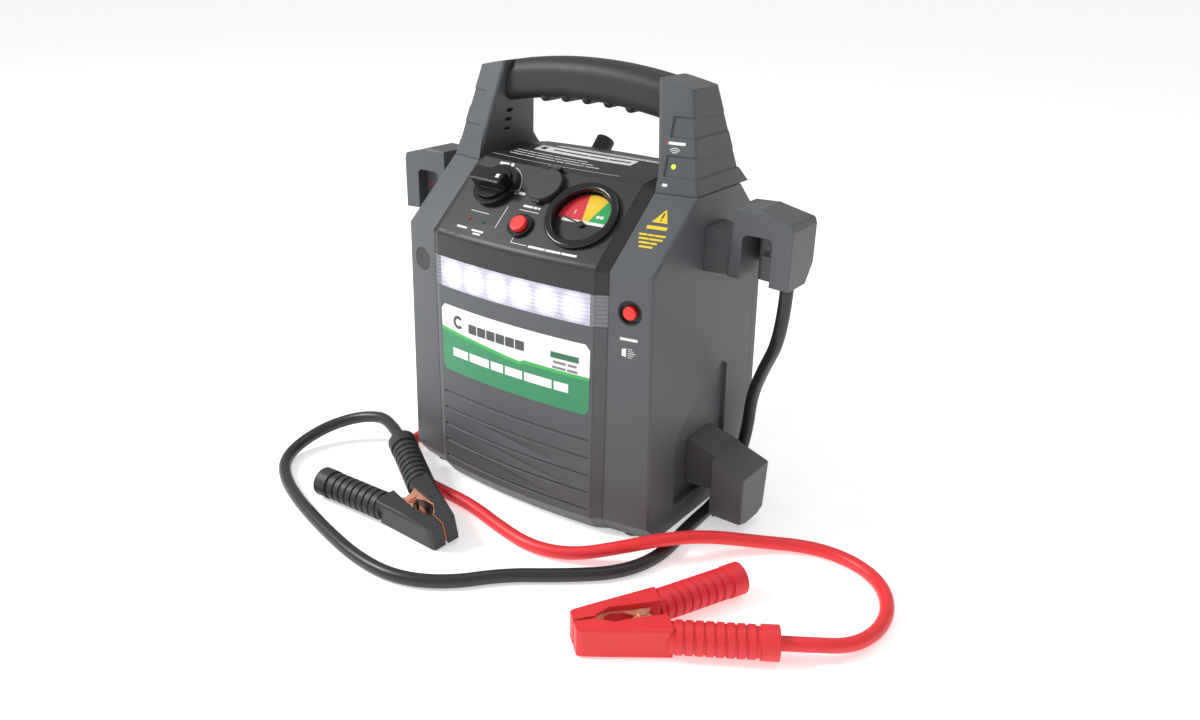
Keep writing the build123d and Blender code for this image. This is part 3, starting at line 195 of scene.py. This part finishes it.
case_plastic = plain("spark-textured ABS, grey", "#515457", 0.46, 0.0007, 0.00008, edge=0.0014)
dress(case_plastic, "right_side_shell", "left_side_shell", "front_panel", "rear_cover", "right_tower",
      "left_tower", "right_cable_holder", "left_cable_holder", "right_wrap_hook", "left_wrap_hook")

# ---- console and deck --------------------------------------------------------------------------
# Black moulded console and deck, with a slightly finer texture than the case.
console_plastic = plain("fine-textured ABS, black", "#242424", 0.45, 0.0007, 0.00006, edge=0.0009)
dress(console_plastic, "console", "rear_deck", "outlet_socket", "light_button_collar", "charge_inlet",
      "blank_plug", "alarm_sounder", "handle_core", "switch_body")
gloss_black = plain("polished ABS, black", "#161616", 0.18)
dress(gloss_black, "gauge_case", "switch_collar", "switch_knob", "test_button_collar")
cap_rubber = plain("moulded rubber, black", "#262728", 0.55, 0.0006, 0.00005)
dress(cap_rubber, "outlet_cap", "charge_inlet_cap", "handle_grip", "feet")

# ---- push buttons ------------------------------------------------------------------------------
# Red battery-test and lamp buttons.
button_red = plain("moulded nylon, red", "#E32A22", 0.35)
dress(button_red, "test_button", "light_button")

# ---- inside the case ---------------------------------------------------------------------------
# Block battery, its strap, the control board and the heavy leads.
dress(plain("battery polypropylene", "#1E2022", 0.45, 0.001, 0.00003), "battery")
dress(plain("cast lead", "#9A9A98", 0.4, 0.0008, 0.00003, metal=1.0), "battery_terminals")
zinc_steel = plain("zinc-plated steel", "#A9A8A2", 0.35, 0.0012, 0.00002, metal=1.0)
dress(zinc_steel, "battery_bracket", "cover_screws", "red_clamp_spring", "black_clamp_spring")
dress(plain("glass epoxy board", "#1C6A3A", 0.4), "control_board", "light_led_board")
dress(red_rubber, "positive_leads", "red_cable")
dress(black_rubber, "negative_lead", "black_cable")
dress(plain("white polycarbonate", "#E9E9EC", 0.25), "light_reflector")

# ---- clamps ------------------------------------------------------------------------------------
# Insulated clamps in red and black vinyl over copper-plated jaws, with a coil spring on the pin.
red_vinyl = plain("dipped vinyl, red", "#E63339", 0.48, 0.0008, 0.00005, edge=0.0012)
black_vinyl = plain("dipped vinyl, black", "#2C2D2F", 0.5, 0.0008, 0.00006, edge=0.0012)
copper = plain("copper-plated steel", "#E9A684", 0.38, 0.0006, 0.00004, metal=0.6)
dress(red_vinyl, "red_clamp_fixed_grip", "red_clamp_moving_grip")
dress(black_vinyl, "black_clamp_fixed_grip", "black_clamp_moving_grip")
for colour in ("red", "black"):
    dress(copper, f"{colour}_clamp_fixed_jaw", f"{colour}_clamp_moving_jaw", f"{colour}_clamp_pivot")

# ---- lamp --------------------------------------------------------------------------------------
# Clear ribbed lens over a row of white LEDs: it glows over its middle, with a hot spot at each LED.
lens = bpy.data.materials.new("ribbed clear polycarbonate")
lens.use_nodes = True
tree = lens.node_tree
shader = tree.nodes["Principled BSDF"]
place = node(tree, "ShaderNodeTexCoord")
axes = node(tree, "ShaderNodeSeparateXYZ", ("Vector", place.outputs["Object"]))


def sums(operation, first, second=0.0, third=0.0):
    """One math node in the lens; each input is a number or another node's output."""
    made = tree.nodes.new("ShaderNodeMath")
    made.operation = operation
    for i, value in enumerate((first, second, third)):
        if isinstance(value, (int, float)):
            made.inputs[i].default_value = value
        else:
            tree.links.new(value, made.inputs[i])
    return made.outputs[0]


led_pitch = 0.028
led_height = 0.220
spot_radius = 0.016
glowing_half = 0.086
fading_half = 0.1
led_phase = sums("FRACT", sums("DIVIDE", axes.outputs["X"], led_pitch))
across = sums("MULTIPLY", sums("SUBTRACT", led_phase, 0.5), led_pitch)
upright = sums("SUBTRACT", axes.outputs["Z"], led_height)
reach = sums("SQRT", sums("ADD", sums("POWER", across, 2.0), sums("POWER", upright, 2.0)))
hot = sums("SUBTRACT", 1.0, sums("DIVIDE", reach, spot_radius))
hot = sums("MAXIMUM", hot, 0.0)
off_middle = sums("ABSOLUTE", axes.outputs["X"])
inside = sums("LESS_THAN", off_middle, glowing_half)
fade = sums("SUBTRACT", 1.0, sums("POWER", sums("DIVIDE", off_middle, fading_half), 6.0))
ribs = node(tree, "ShaderNodeTexWave", ("Vector", place.outputs["Object"]), Scale=85.0)
ribs.bands_direction = "Z"
streak = sums("ADD", 0.55, sums("MULTIPLY", ribs.outputs["Fac"], 0.6))
brightness = sums("ADD", 0.22, sums("MULTIPLY", hot, 1.5))
glow = sums("MULTIPLY", brightness, sums("MULTIPLY", sums("MULTIPLY", inside, fade), streak))
bump = node(tree, "ShaderNodeBump", ("Height", ribs.outputs["Fac"]), Strength=1.0, Distance=0.0006)
tree.links.new(bump.outputs["Normal"], shader.inputs["Normal"])
tree.links.new(glow, shader.inputs["Emission Strength"])
shader.inputs["Emission Color"].default_value = linear("#E9E6FF")
shade = node(tree, "ShaderNodeMixRGB", ("Fac", inside), Color1=linear("#7C7E82"),
             Color2=linear("#B4B3C2"))
tree.links.new(shade.outputs["Color"], shader.inputs["Base Color"])
shader.inputs["Roughness"].default_value = 0.12
dress(lens, "light_lens")
dress(plain("LED", "#F6F2D8", 0.3), "light_leds", "indicator_lamps")

# ---- meter -------------------------------------------------------------------------------------
# A moving-coil meter: clear window, printed dial in red, yellow and green, black needle and hub.
glass = bpy.data.materials.new("clear acrylic window")
glass.use_nodes = True
window_tree = glass.node_tree
clear = node(window_tree, "ShaderNodeBsdfTransparent")
shine = node(window_tree, "ShaderNodeBsdfGlossy", Roughness=0.03)
edge_view = node(window_tree, "ShaderNodeFresnel", IOR=1.08)
both = node(window_tree, "ShaderNodeMixShader", ("Fac", edge_view.outputs["Fac"]))
window_tree.links.new(clear.outputs[0], both.inputs[1])
window_tree.links.new(shine.outputs[0], both.inputs[2])
window_tree.links.new(both.outputs[0], window_tree.nodes["Material Output"].inputs["Surface"])
dress(glass, "gauge_window")
dress(plain("black dial", "#141414", 0.5), "gauge_dial")
dress(plain("needle", "#1B1B1B", 0.4), "gauge_needle")


# ---- markings ----------------------------------------------------------------------------------
# Everything printed is a thin skin that follows the bowed surface under it. The lettering is
# replaced by plain bars.
bow_axis_y = 0.575          # the upright axis that the front and the console are bowed round


def on_bow(x, y, z, out_y, out_z, height):
    """A point on a surface that is bowed in plan round the upright axis behind the case."""
    reach = bow_axis_y - y
    turn = math.asin(x / reach)
    reach = reach - out_y * height
    return Vector((reach * math.sin(turn), bow_axis_y - reach * math.cos(turn), z + out_z * height))


slope = math.radians(41.0)
slope_foot_y, slope_foot_z = -0.110, 0.255
console_rise = 0.005        # the console stands this far proud of the pillars' slope


def on_slope(x, t, height=0.00012):
    """A point on the console at x and t up the slope from its lower edge."""
    y = slope_foot_y + t * math.cos(slope) - console_rise * math.sin(slope)
    z = slope_foot_z + t * math.sin(slope) + console_rise * math.cos(slope)
    return on_bow(x, y, z, -math.sin(slope), math.cos(slope), height)


def on_panel(x, z, height=0.00012):
    """A point on the raised front panel."""
    return on_bow(x, slope_foot_y - console_rise, z, -1.0, 0.0, height)


def on_pillar(x, z, height=0.00012):
    """A point on the front of a side shell."""
    return on_bow(x, slope_foot_y, z, -1.0, 0.0, height)


def on_pillar_slope(x, t, height=0.00012):
    """A point on a side shell's slope, beside the console."""
    y = slope_foot_y + t * math.cos(slope)
    return on_bow(x, y, slope_foot_z + t * math.sin(slope), -math.sin(slope), math.cos(slope), height)


def on_deck(x, y, height=0.00015):
    """A point on the deck: it rises to the crosswise seam and falls behind it."""
    if y < 0.009:
        return on_bow(x, y, 0.316 + (y + 0.04745) * 0.1240, -0.12, 0.99, height)
    return Vector((x, y, 0.323 - (y - 0.009) * 0.1321 + height))


def printed(name, surface, material, shapes, body="case"):
    """A skin of flat shapes on a surface; a shape is rows of (u, v), all with as many points."""
    corners, faces = [], []
    for shape in shapes:
        first = len(corners)
        width = len(shape[0])
        for row in shape:
            corners.extend(surface(u, v) for u, v in row)
        for r in range(len(shape) - 1):
            for c in range(width - 1):
                a = first + r * width + c
                faces.append((a, a + 1, a + width + 1, a + width))
    mesh = bpy.data.meshes.new(name)
    mesh.from_pydata(corners, [], faces)
    mesh.materials.append(material)
    skin = bpy.data.objects.new(name, mesh)
    bpy.context.scene.collection.objects.link(skin)
    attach(skin, body)
    return skin


def bar(u_low, u_high, v_low, v_high, steps=12):
    """A rectangle in rows, cut up along u so that it can follow the bow."""
    us = [u_low + (u_high - u_low) * i / steps for i in range(steps + 1)]
    return [[(u, v_low) for u in us], [(u, v_high) for u in us]]


def words(u_low, u_high, v_low, v_high, lengths):
    """A row of short bars in place of lettering."""
    total = sum(lengths) + 0.45 * (len(lengths) - 1)
    shapes, at = [], u_low
    for length in lengths:
        end = at + (u_high - u_low) * length / total
        shapes.append(bar(at, end, v_low, v_high, 3))
        at = end + (u_high - u_low) * 0.45 / total
    return shapes


def arc(u, v, inner, outer, start, stop, steps=24):
    """Part of a ring, in degrees from u."""
    rows = []
    for radius in (inner, outer):
        turns = [math.radians(start + (stop - start) * i / steps) for i in range(steps + 1)]
        rows.append([(u + radius * math.cos(a), v + radius * math.sin(a)) for a in turns])
    return rows


white_ink = plain("white ink", "#E9E9E6", 0.5)
yellow_ink = plain("yellow ink", "#E9C928", 0.5)
red_ink = plain("red ink", "#D8262C", 0.5)
green_ink = plain("green ink", "#1E8E4E", 0.5)
black_ink = plain("black ink", "#1A1A1A", 0.5)

# Console print: switch marks and arc, divider, outlet line, meter line, lamp captions.
console_print = [bar(-0.065, -0.042, 0.0277, 0.0283), bar(-0.0269, -0.0263, 0.016, 0.040, 2),
                 bar(-0.0127, 0.009, 0.0397, 0.0403), bar(-0.0019, -0.0013, 0.0060, 0.0112, 2),
                 bar(-0.0019, 0.0158, 0.0057, 0.0063), bar(-0.0521, -0.0481, 0.0815, 0.0855, 2),
                 arc(-0.051, 0.057, 0.0252, 0.0258, 5, 75)]
console_print += words(-0.011, 0.008, 0.0436, 0.0458, [5, 2, 1])
console_print += words(0.018, 0.068, 0.0048, 0.0070, [8, 7, 7])
console_print += words(-0.070, -0.057, 0.0078, 0.0098, [7]) + words(-0.0505, -0.036, 0.0074, 0.0094, [6])
console_print += words(-0.047, -0.038, 0.0044, 0.0062, [5]) + words(-0.066, -0.054, 0.0820, 0.0850, [4])
console_print += words(-0.0235, -0.0165, 0.0550, 0.0578, [3])
console_print += [bar(-0.0289, -0.0249, 0.0584, 0.0588, 2), bar(-0.0289, -0.0249, 0.0548, 0.0552, 2),
                  bar(-0.0289, -0.0285, 0.0548, 0.0588, 1), bar(-0.0253, -0.0249, 0.0548, 0.0588, 1)]
printed("console_markings", on_slope, white_ink, console_print)

# Deck print: two white warning strips beside the seam, rows of small print and a thin line.
deck_print = [bar(-0.060, 0.052, -0.008, 0.006), bar(-0.048, 0.072, 0.013, 0.026),
              bar(-0.090, 0.060, -0.0372, -0.0366)]
for i in range(3):
    row_y = -0.0165 - 0.0055 * i
    deck_print += words(-0.075, 0.012 + 0.01 * i, row_y, row_y + 0.0015, [6, 4, 8, 3, 7, 5])
printed("deck_markings", on_deck, white_ink, deck_print)
printed("deck_small_print", lambda u, v: on_deck(u, v, 0.0003), black_ink,
        words(-0.040, 0.048, -0.0022, 0.0004, [5, 9, 7, 8])
        + words(-0.044, 0.068, 0.0185, 0.0205, [7, 5, 9, 6, 4])
        + [bar(-0.055, -0.049, -0.0042, 0.0022, 2)])

# Case label: white over green, with slanted bands, on the raised front panel.
label_half = 0.087
label_foot, label_top = 0.1216, 0.1884
label_corner = 0.005
label_us = [-label_half + 2 * label_half * i / 40 for i in range(41)]


def label_rows(low, high):
    """A full-width band of the label between two heights, each a function of x; its ends are round."""
    rows = []
    for share in (0.0, 0.5, 1.0):
        row = []
        for u in label_us:
            edge = min(label_half - abs(u), label_corner)
            left_over = label_corner ** 2 - (label_corner - edge) ** 2
            round_off = label_corner - math.sqrt(max(0.0, left_over))
            bottom = max(low(u), label_foot + round_off)
            top = min(high(u), label_top - round_off)
            row.append((u, bottom + (top - bottom) * share))
        rows.append(row)
    return rows


def label_line(u):
    """The slanting boundary between the label's white and green parts."""
    share = (u + label_half) / (2 * label_half)
    if share < 0.58:
        drop = 0.34 + 0.15 * share / 0.58
    else:
        drop = 0.46 - 0.02 * (1 - share)
    return label_top - (label_top - label_foot) * drop


label_card = plain("white label film", "#F2F2F0", 0.35)
label_green = plain("green label ink", "#2F8A5B", 0.35)
label_bright = plain("bright green label ink", "#37B24D", 0.35)
printed("label_base", lambda u, v: on_panel(u, v, 0.0002), label_card,
        [label_rows(lambda u: label_foot, lambda u: label_top)])
printed("label_green_part", lambda u, v: on_panel(u, v, 0.0003), label_green,
        [label_rows(lambda u: label_foot, label_line)])
printed("label_bright_edge", lambda u, v: on_panel(u, v, 0.0004), label_bright,
        [label_rows(lambda u: label_line(u) - 0.0032, label_line)])
printed("label_wording", lambda u, v: on_panel(u, v, 0.0005), label_card,
        words(-0.072, 0.066, 0.1385, 0.1470, [4, 5, 3, 4, 6, 3]))
printed("label_heading", lambda u, v: on_panel(u, v, 0.0005), plain("dark grey ink", "#45494B", 0.4),
        words(-0.050, 0.018, 0.1670, 0.1760, [3, 3, 3, 3, 3, 3])
        + [arc(-0.064, 0.1740, 0.0035, 0.0065, 40, 320)])
printed("label_badge", lambda u, v: on_panel(u, v, 0.0005), plain("dark green ink", "#2B6E4B", 0.4),
        [bar(0.047, 0.076, 0.1690, 0.1745)])
printed("label_figures", lambda u, v: on_panel(u, v, 0.0005), plain("grey ink", "#7C8082", 0.4),
        words(0.050, 0.074, 0.1640, 0.1662, [3, 2]) + words(0.049, 0.075, 0.1590, 0.1612, [4, 3]))

# Pillar print: yellow warning triangle and rows on the right slope, lamp sign under the button.
triangle = [[(0.1115, 0.0545), (0.1255, 0.0545)], [(0.1185, 0.0685), (0.1186, 0.0685)]]
printed("warning_sign", on_pillar_slope, yellow_ink, [triangle]
        + words(0.1095, 0.1275, 0.0475, 0.0510, [6]) + words(0.1065, 0.1300, 0.0405, 0.0425, [5, 4, 7])
        + words(0.1080, 0.1290, 0.0365, 0.0385, [6, 8]) + words(0.1100, 0.1260, 0.0325, 0.0345, [9, 5])
        + words(0.1120, 0.1240, 0.0285, 0.0305, [6]))
printed("warning_mark", lambda u, v: on_pillar_slope(u, v, 0.0003), black_ink,
        [bar(0.1179, 0.1191, 0.0590, 0.0645, 2), bar(0.1179, 0.1191, 0.0562, 0.0576, 2)])
printed("lamp_sign", on_pillar, white_ink, words(0.1115, 0.1275, 0.1975, 0.2000, [6])
        + [[[(0.1135, 0.1835), (0.1175, 0.1825)], [(0.1135, 0.1895), (0.1175, 0.1905)]],
           bar(0.1190, 0.1260, 0.1861, 0.1867, 2), bar(0.1190, 0.1245, 0.1881, 0.1886, 2),
           bar(0.1190, 0.1245, 0.1842, 0.1847, 2), bar(0.1190, 0.1230, 0.1900, 0.1905, 2),
           bar(0.1190, 0.1230, 0.1824, 0.1829, 2)])

# Tower print: text rows, a sound-wave sign and two coloured dots round the sunk windows.
def on_tower(x, z, height=0.00012):
    """A point on a tower's leaning front face."""
    return on_bow(x, -0.04673 + (z - 0.3103) * 0.2607, z, -0.9677, 0.2523, height)


printed("tower_markings", on_tower, white_ink, words(0.1045, 0.1195, 0.3502, 0.3526, [9])
        + [arc(0.1110, 0.3420, inner, inner + 0.0006, 40, 140, 8) for inner in (0.0020, 0.0037, 0.0054)]
        + words(0.1055, 0.1100, 0.3160, 0.3184, [4]))
printed("alarm_dot", on_tower, red_ink, [bar(0.1023, 0.1035, 0.3508, 0.3520, 2)])
printed("ready_dot", on_tower, green_ink, [bar(0.1028, 0.1042, 0.3165, 0.3179, 2)])

# Holder marks: a clamp sign on the post in each pocket.
printed("right_holder_mark", lambda u, v: Vector((u, -0.0052, v)), black_ink,
        [bar(0.1895, 0.2005, 0.2640, 0.2652, 2), bar(0.1895, 0.2005, 0.2682, 0.2690, 2),
         [[(0.1895, 0.2660), (0.1960, 0.2646)], [(0.1895, 0.2664), (0.1960, 0.2686)]]])
printed("left_holder_mark", lambda u, v: Vector((u, -0.0052, v)), red_ink,
        [bar(-0.2010, -0.1960, 0.2640, 0.2652, 2), bar(-0.1995, -0.1975, 0.2660, 0.2675, 2)])


# ---- dial and knob prints ----------------------------------------------------------------------
def flat_on_slope(x, t, height):
    """A flat surface parallel to the console at x and t; u is across and v is up the slope."""
    origin = on_slope(x, t, height)
    turn = math.asin(x / (bow_axis_y - slope_foot_y - t * math.cos(slope) + console_rise * math.sin(slope)))
    across_it = Vector((math.cos(turn), math.sin(turn), 0))
    normal = Vector((math.sin(slope) * math.sin(turn), -math.sin(slope) * math.cos(turn),
                     math.cos(slope)))
    upward = normal.cross(across_it)
    return lambda u, v: origin + across_it * u + upward * v


dial_spot = (0.052, 0.0455)
dial_face = flat_on_slope(*dial_spot, -0.0042)
sector_drop = 0.012         # the coloured parts' common centre lies this far below the dial's
sector_foot = -0.0015
sector_rim = 0.0262
for part, ink, start, stop in (("low", plain("dial red", "#D2202B", 0.45), 98, 157),
                               ("middle", plain("dial yellow", "#F0C419", 0.45), 66, 98),
                               ("full", plain("dial green", "#13A04F", 0.45), 24, 66)):
    turns = [math.radians(start + (stop - start) * i / 24) for i in range(25)]
    on_strip = [((sector_drop + sector_foot) / math.tan(a), sector_foot) for a in turns]
    on_rim = []
    for a in turns:
        ray = sector_drop * math.sin(a) + math.sqrt(sector_rim ** 2 - (sector_drop * math.cos(a)) ** 2)
        on_rim.append((ray * math.cos(a), ray * math.sin(a) - sector_drop))
    printed(f"dial_{part}_part", dial_face, ink, [[on_strip, on_rim]])
printed("dial_strip", dial_face, white_ink, [bar(-0.0215, 0.0215, -0.0045, -0.0015)])
printed("dial_words", flat_on_slope(*dial_spot, -0.0041), white_ink,
        words(0.0105, 0.0175, 0.0030, 0.0060, [2, 2])
        + [bar(-0.0120, -0.0112, 0.004, 0.0085, 1), bar(-0.0030, -0.0024, 0.012, 0.0160, 1),
           bar(0.0030, 0.0036, 0.012, 0.0160, 1)])
knob_top = flat_on_slope(-0.051, 0.057, 0.02015)
printed("knob_mark", knob_top, white_ink, [bar(0.0115, 0.0155, -0.002, 0.002, 2)], body="switch")

# ---- lit indicators ----------------------------------------------------------------------------
# Small domed lamps: the tower one is lit yellow-green, the two console ones are dark red and green.
lit = bpy.data.materials.new("indicator lamp")
lit.use_nodes = True
tree = lit.node_tree
shader = tree.nodes["Principled BSDF"]
place = node(tree, "ShaderNodeTexCoord")
axes = node(tree, "ShaderNodeSeparateXYZ", ("Vector", place.outputs["Object"]))
on_the_tower = sums("GREATER_THAN", axes.outputs["Z"], 0.3)
on_the_left = sums("LESS_THAN", axes.outputs["X"], -0.052)
pair = node(tree, "ShaderNodeMixRGB", ("Fac", on_the_left), Color1=linear("#1F5B45"),
            Color2=linear("#A3302B"))
all_three = node(tree, "ShaderNodeMixRGB", ("Fac", on_the_tower), ("Color1", pair.outputs["Color"]),
                 Color2=linear("#C9E235"))
tree.links.new(all_three.outputs["Color"], shader.inputs["Base Color"])
tree.links.new(all_three.outputs["Color"], shader.inputs["Emission Color"])
tree.links.new(sums("MULTIPLY", on_the_tower, 1.0), shader.inputs["Emission Strength"])
shader.inputs["Roughness"].default_value = 0.2
dress(lit, "indicator_lamps")
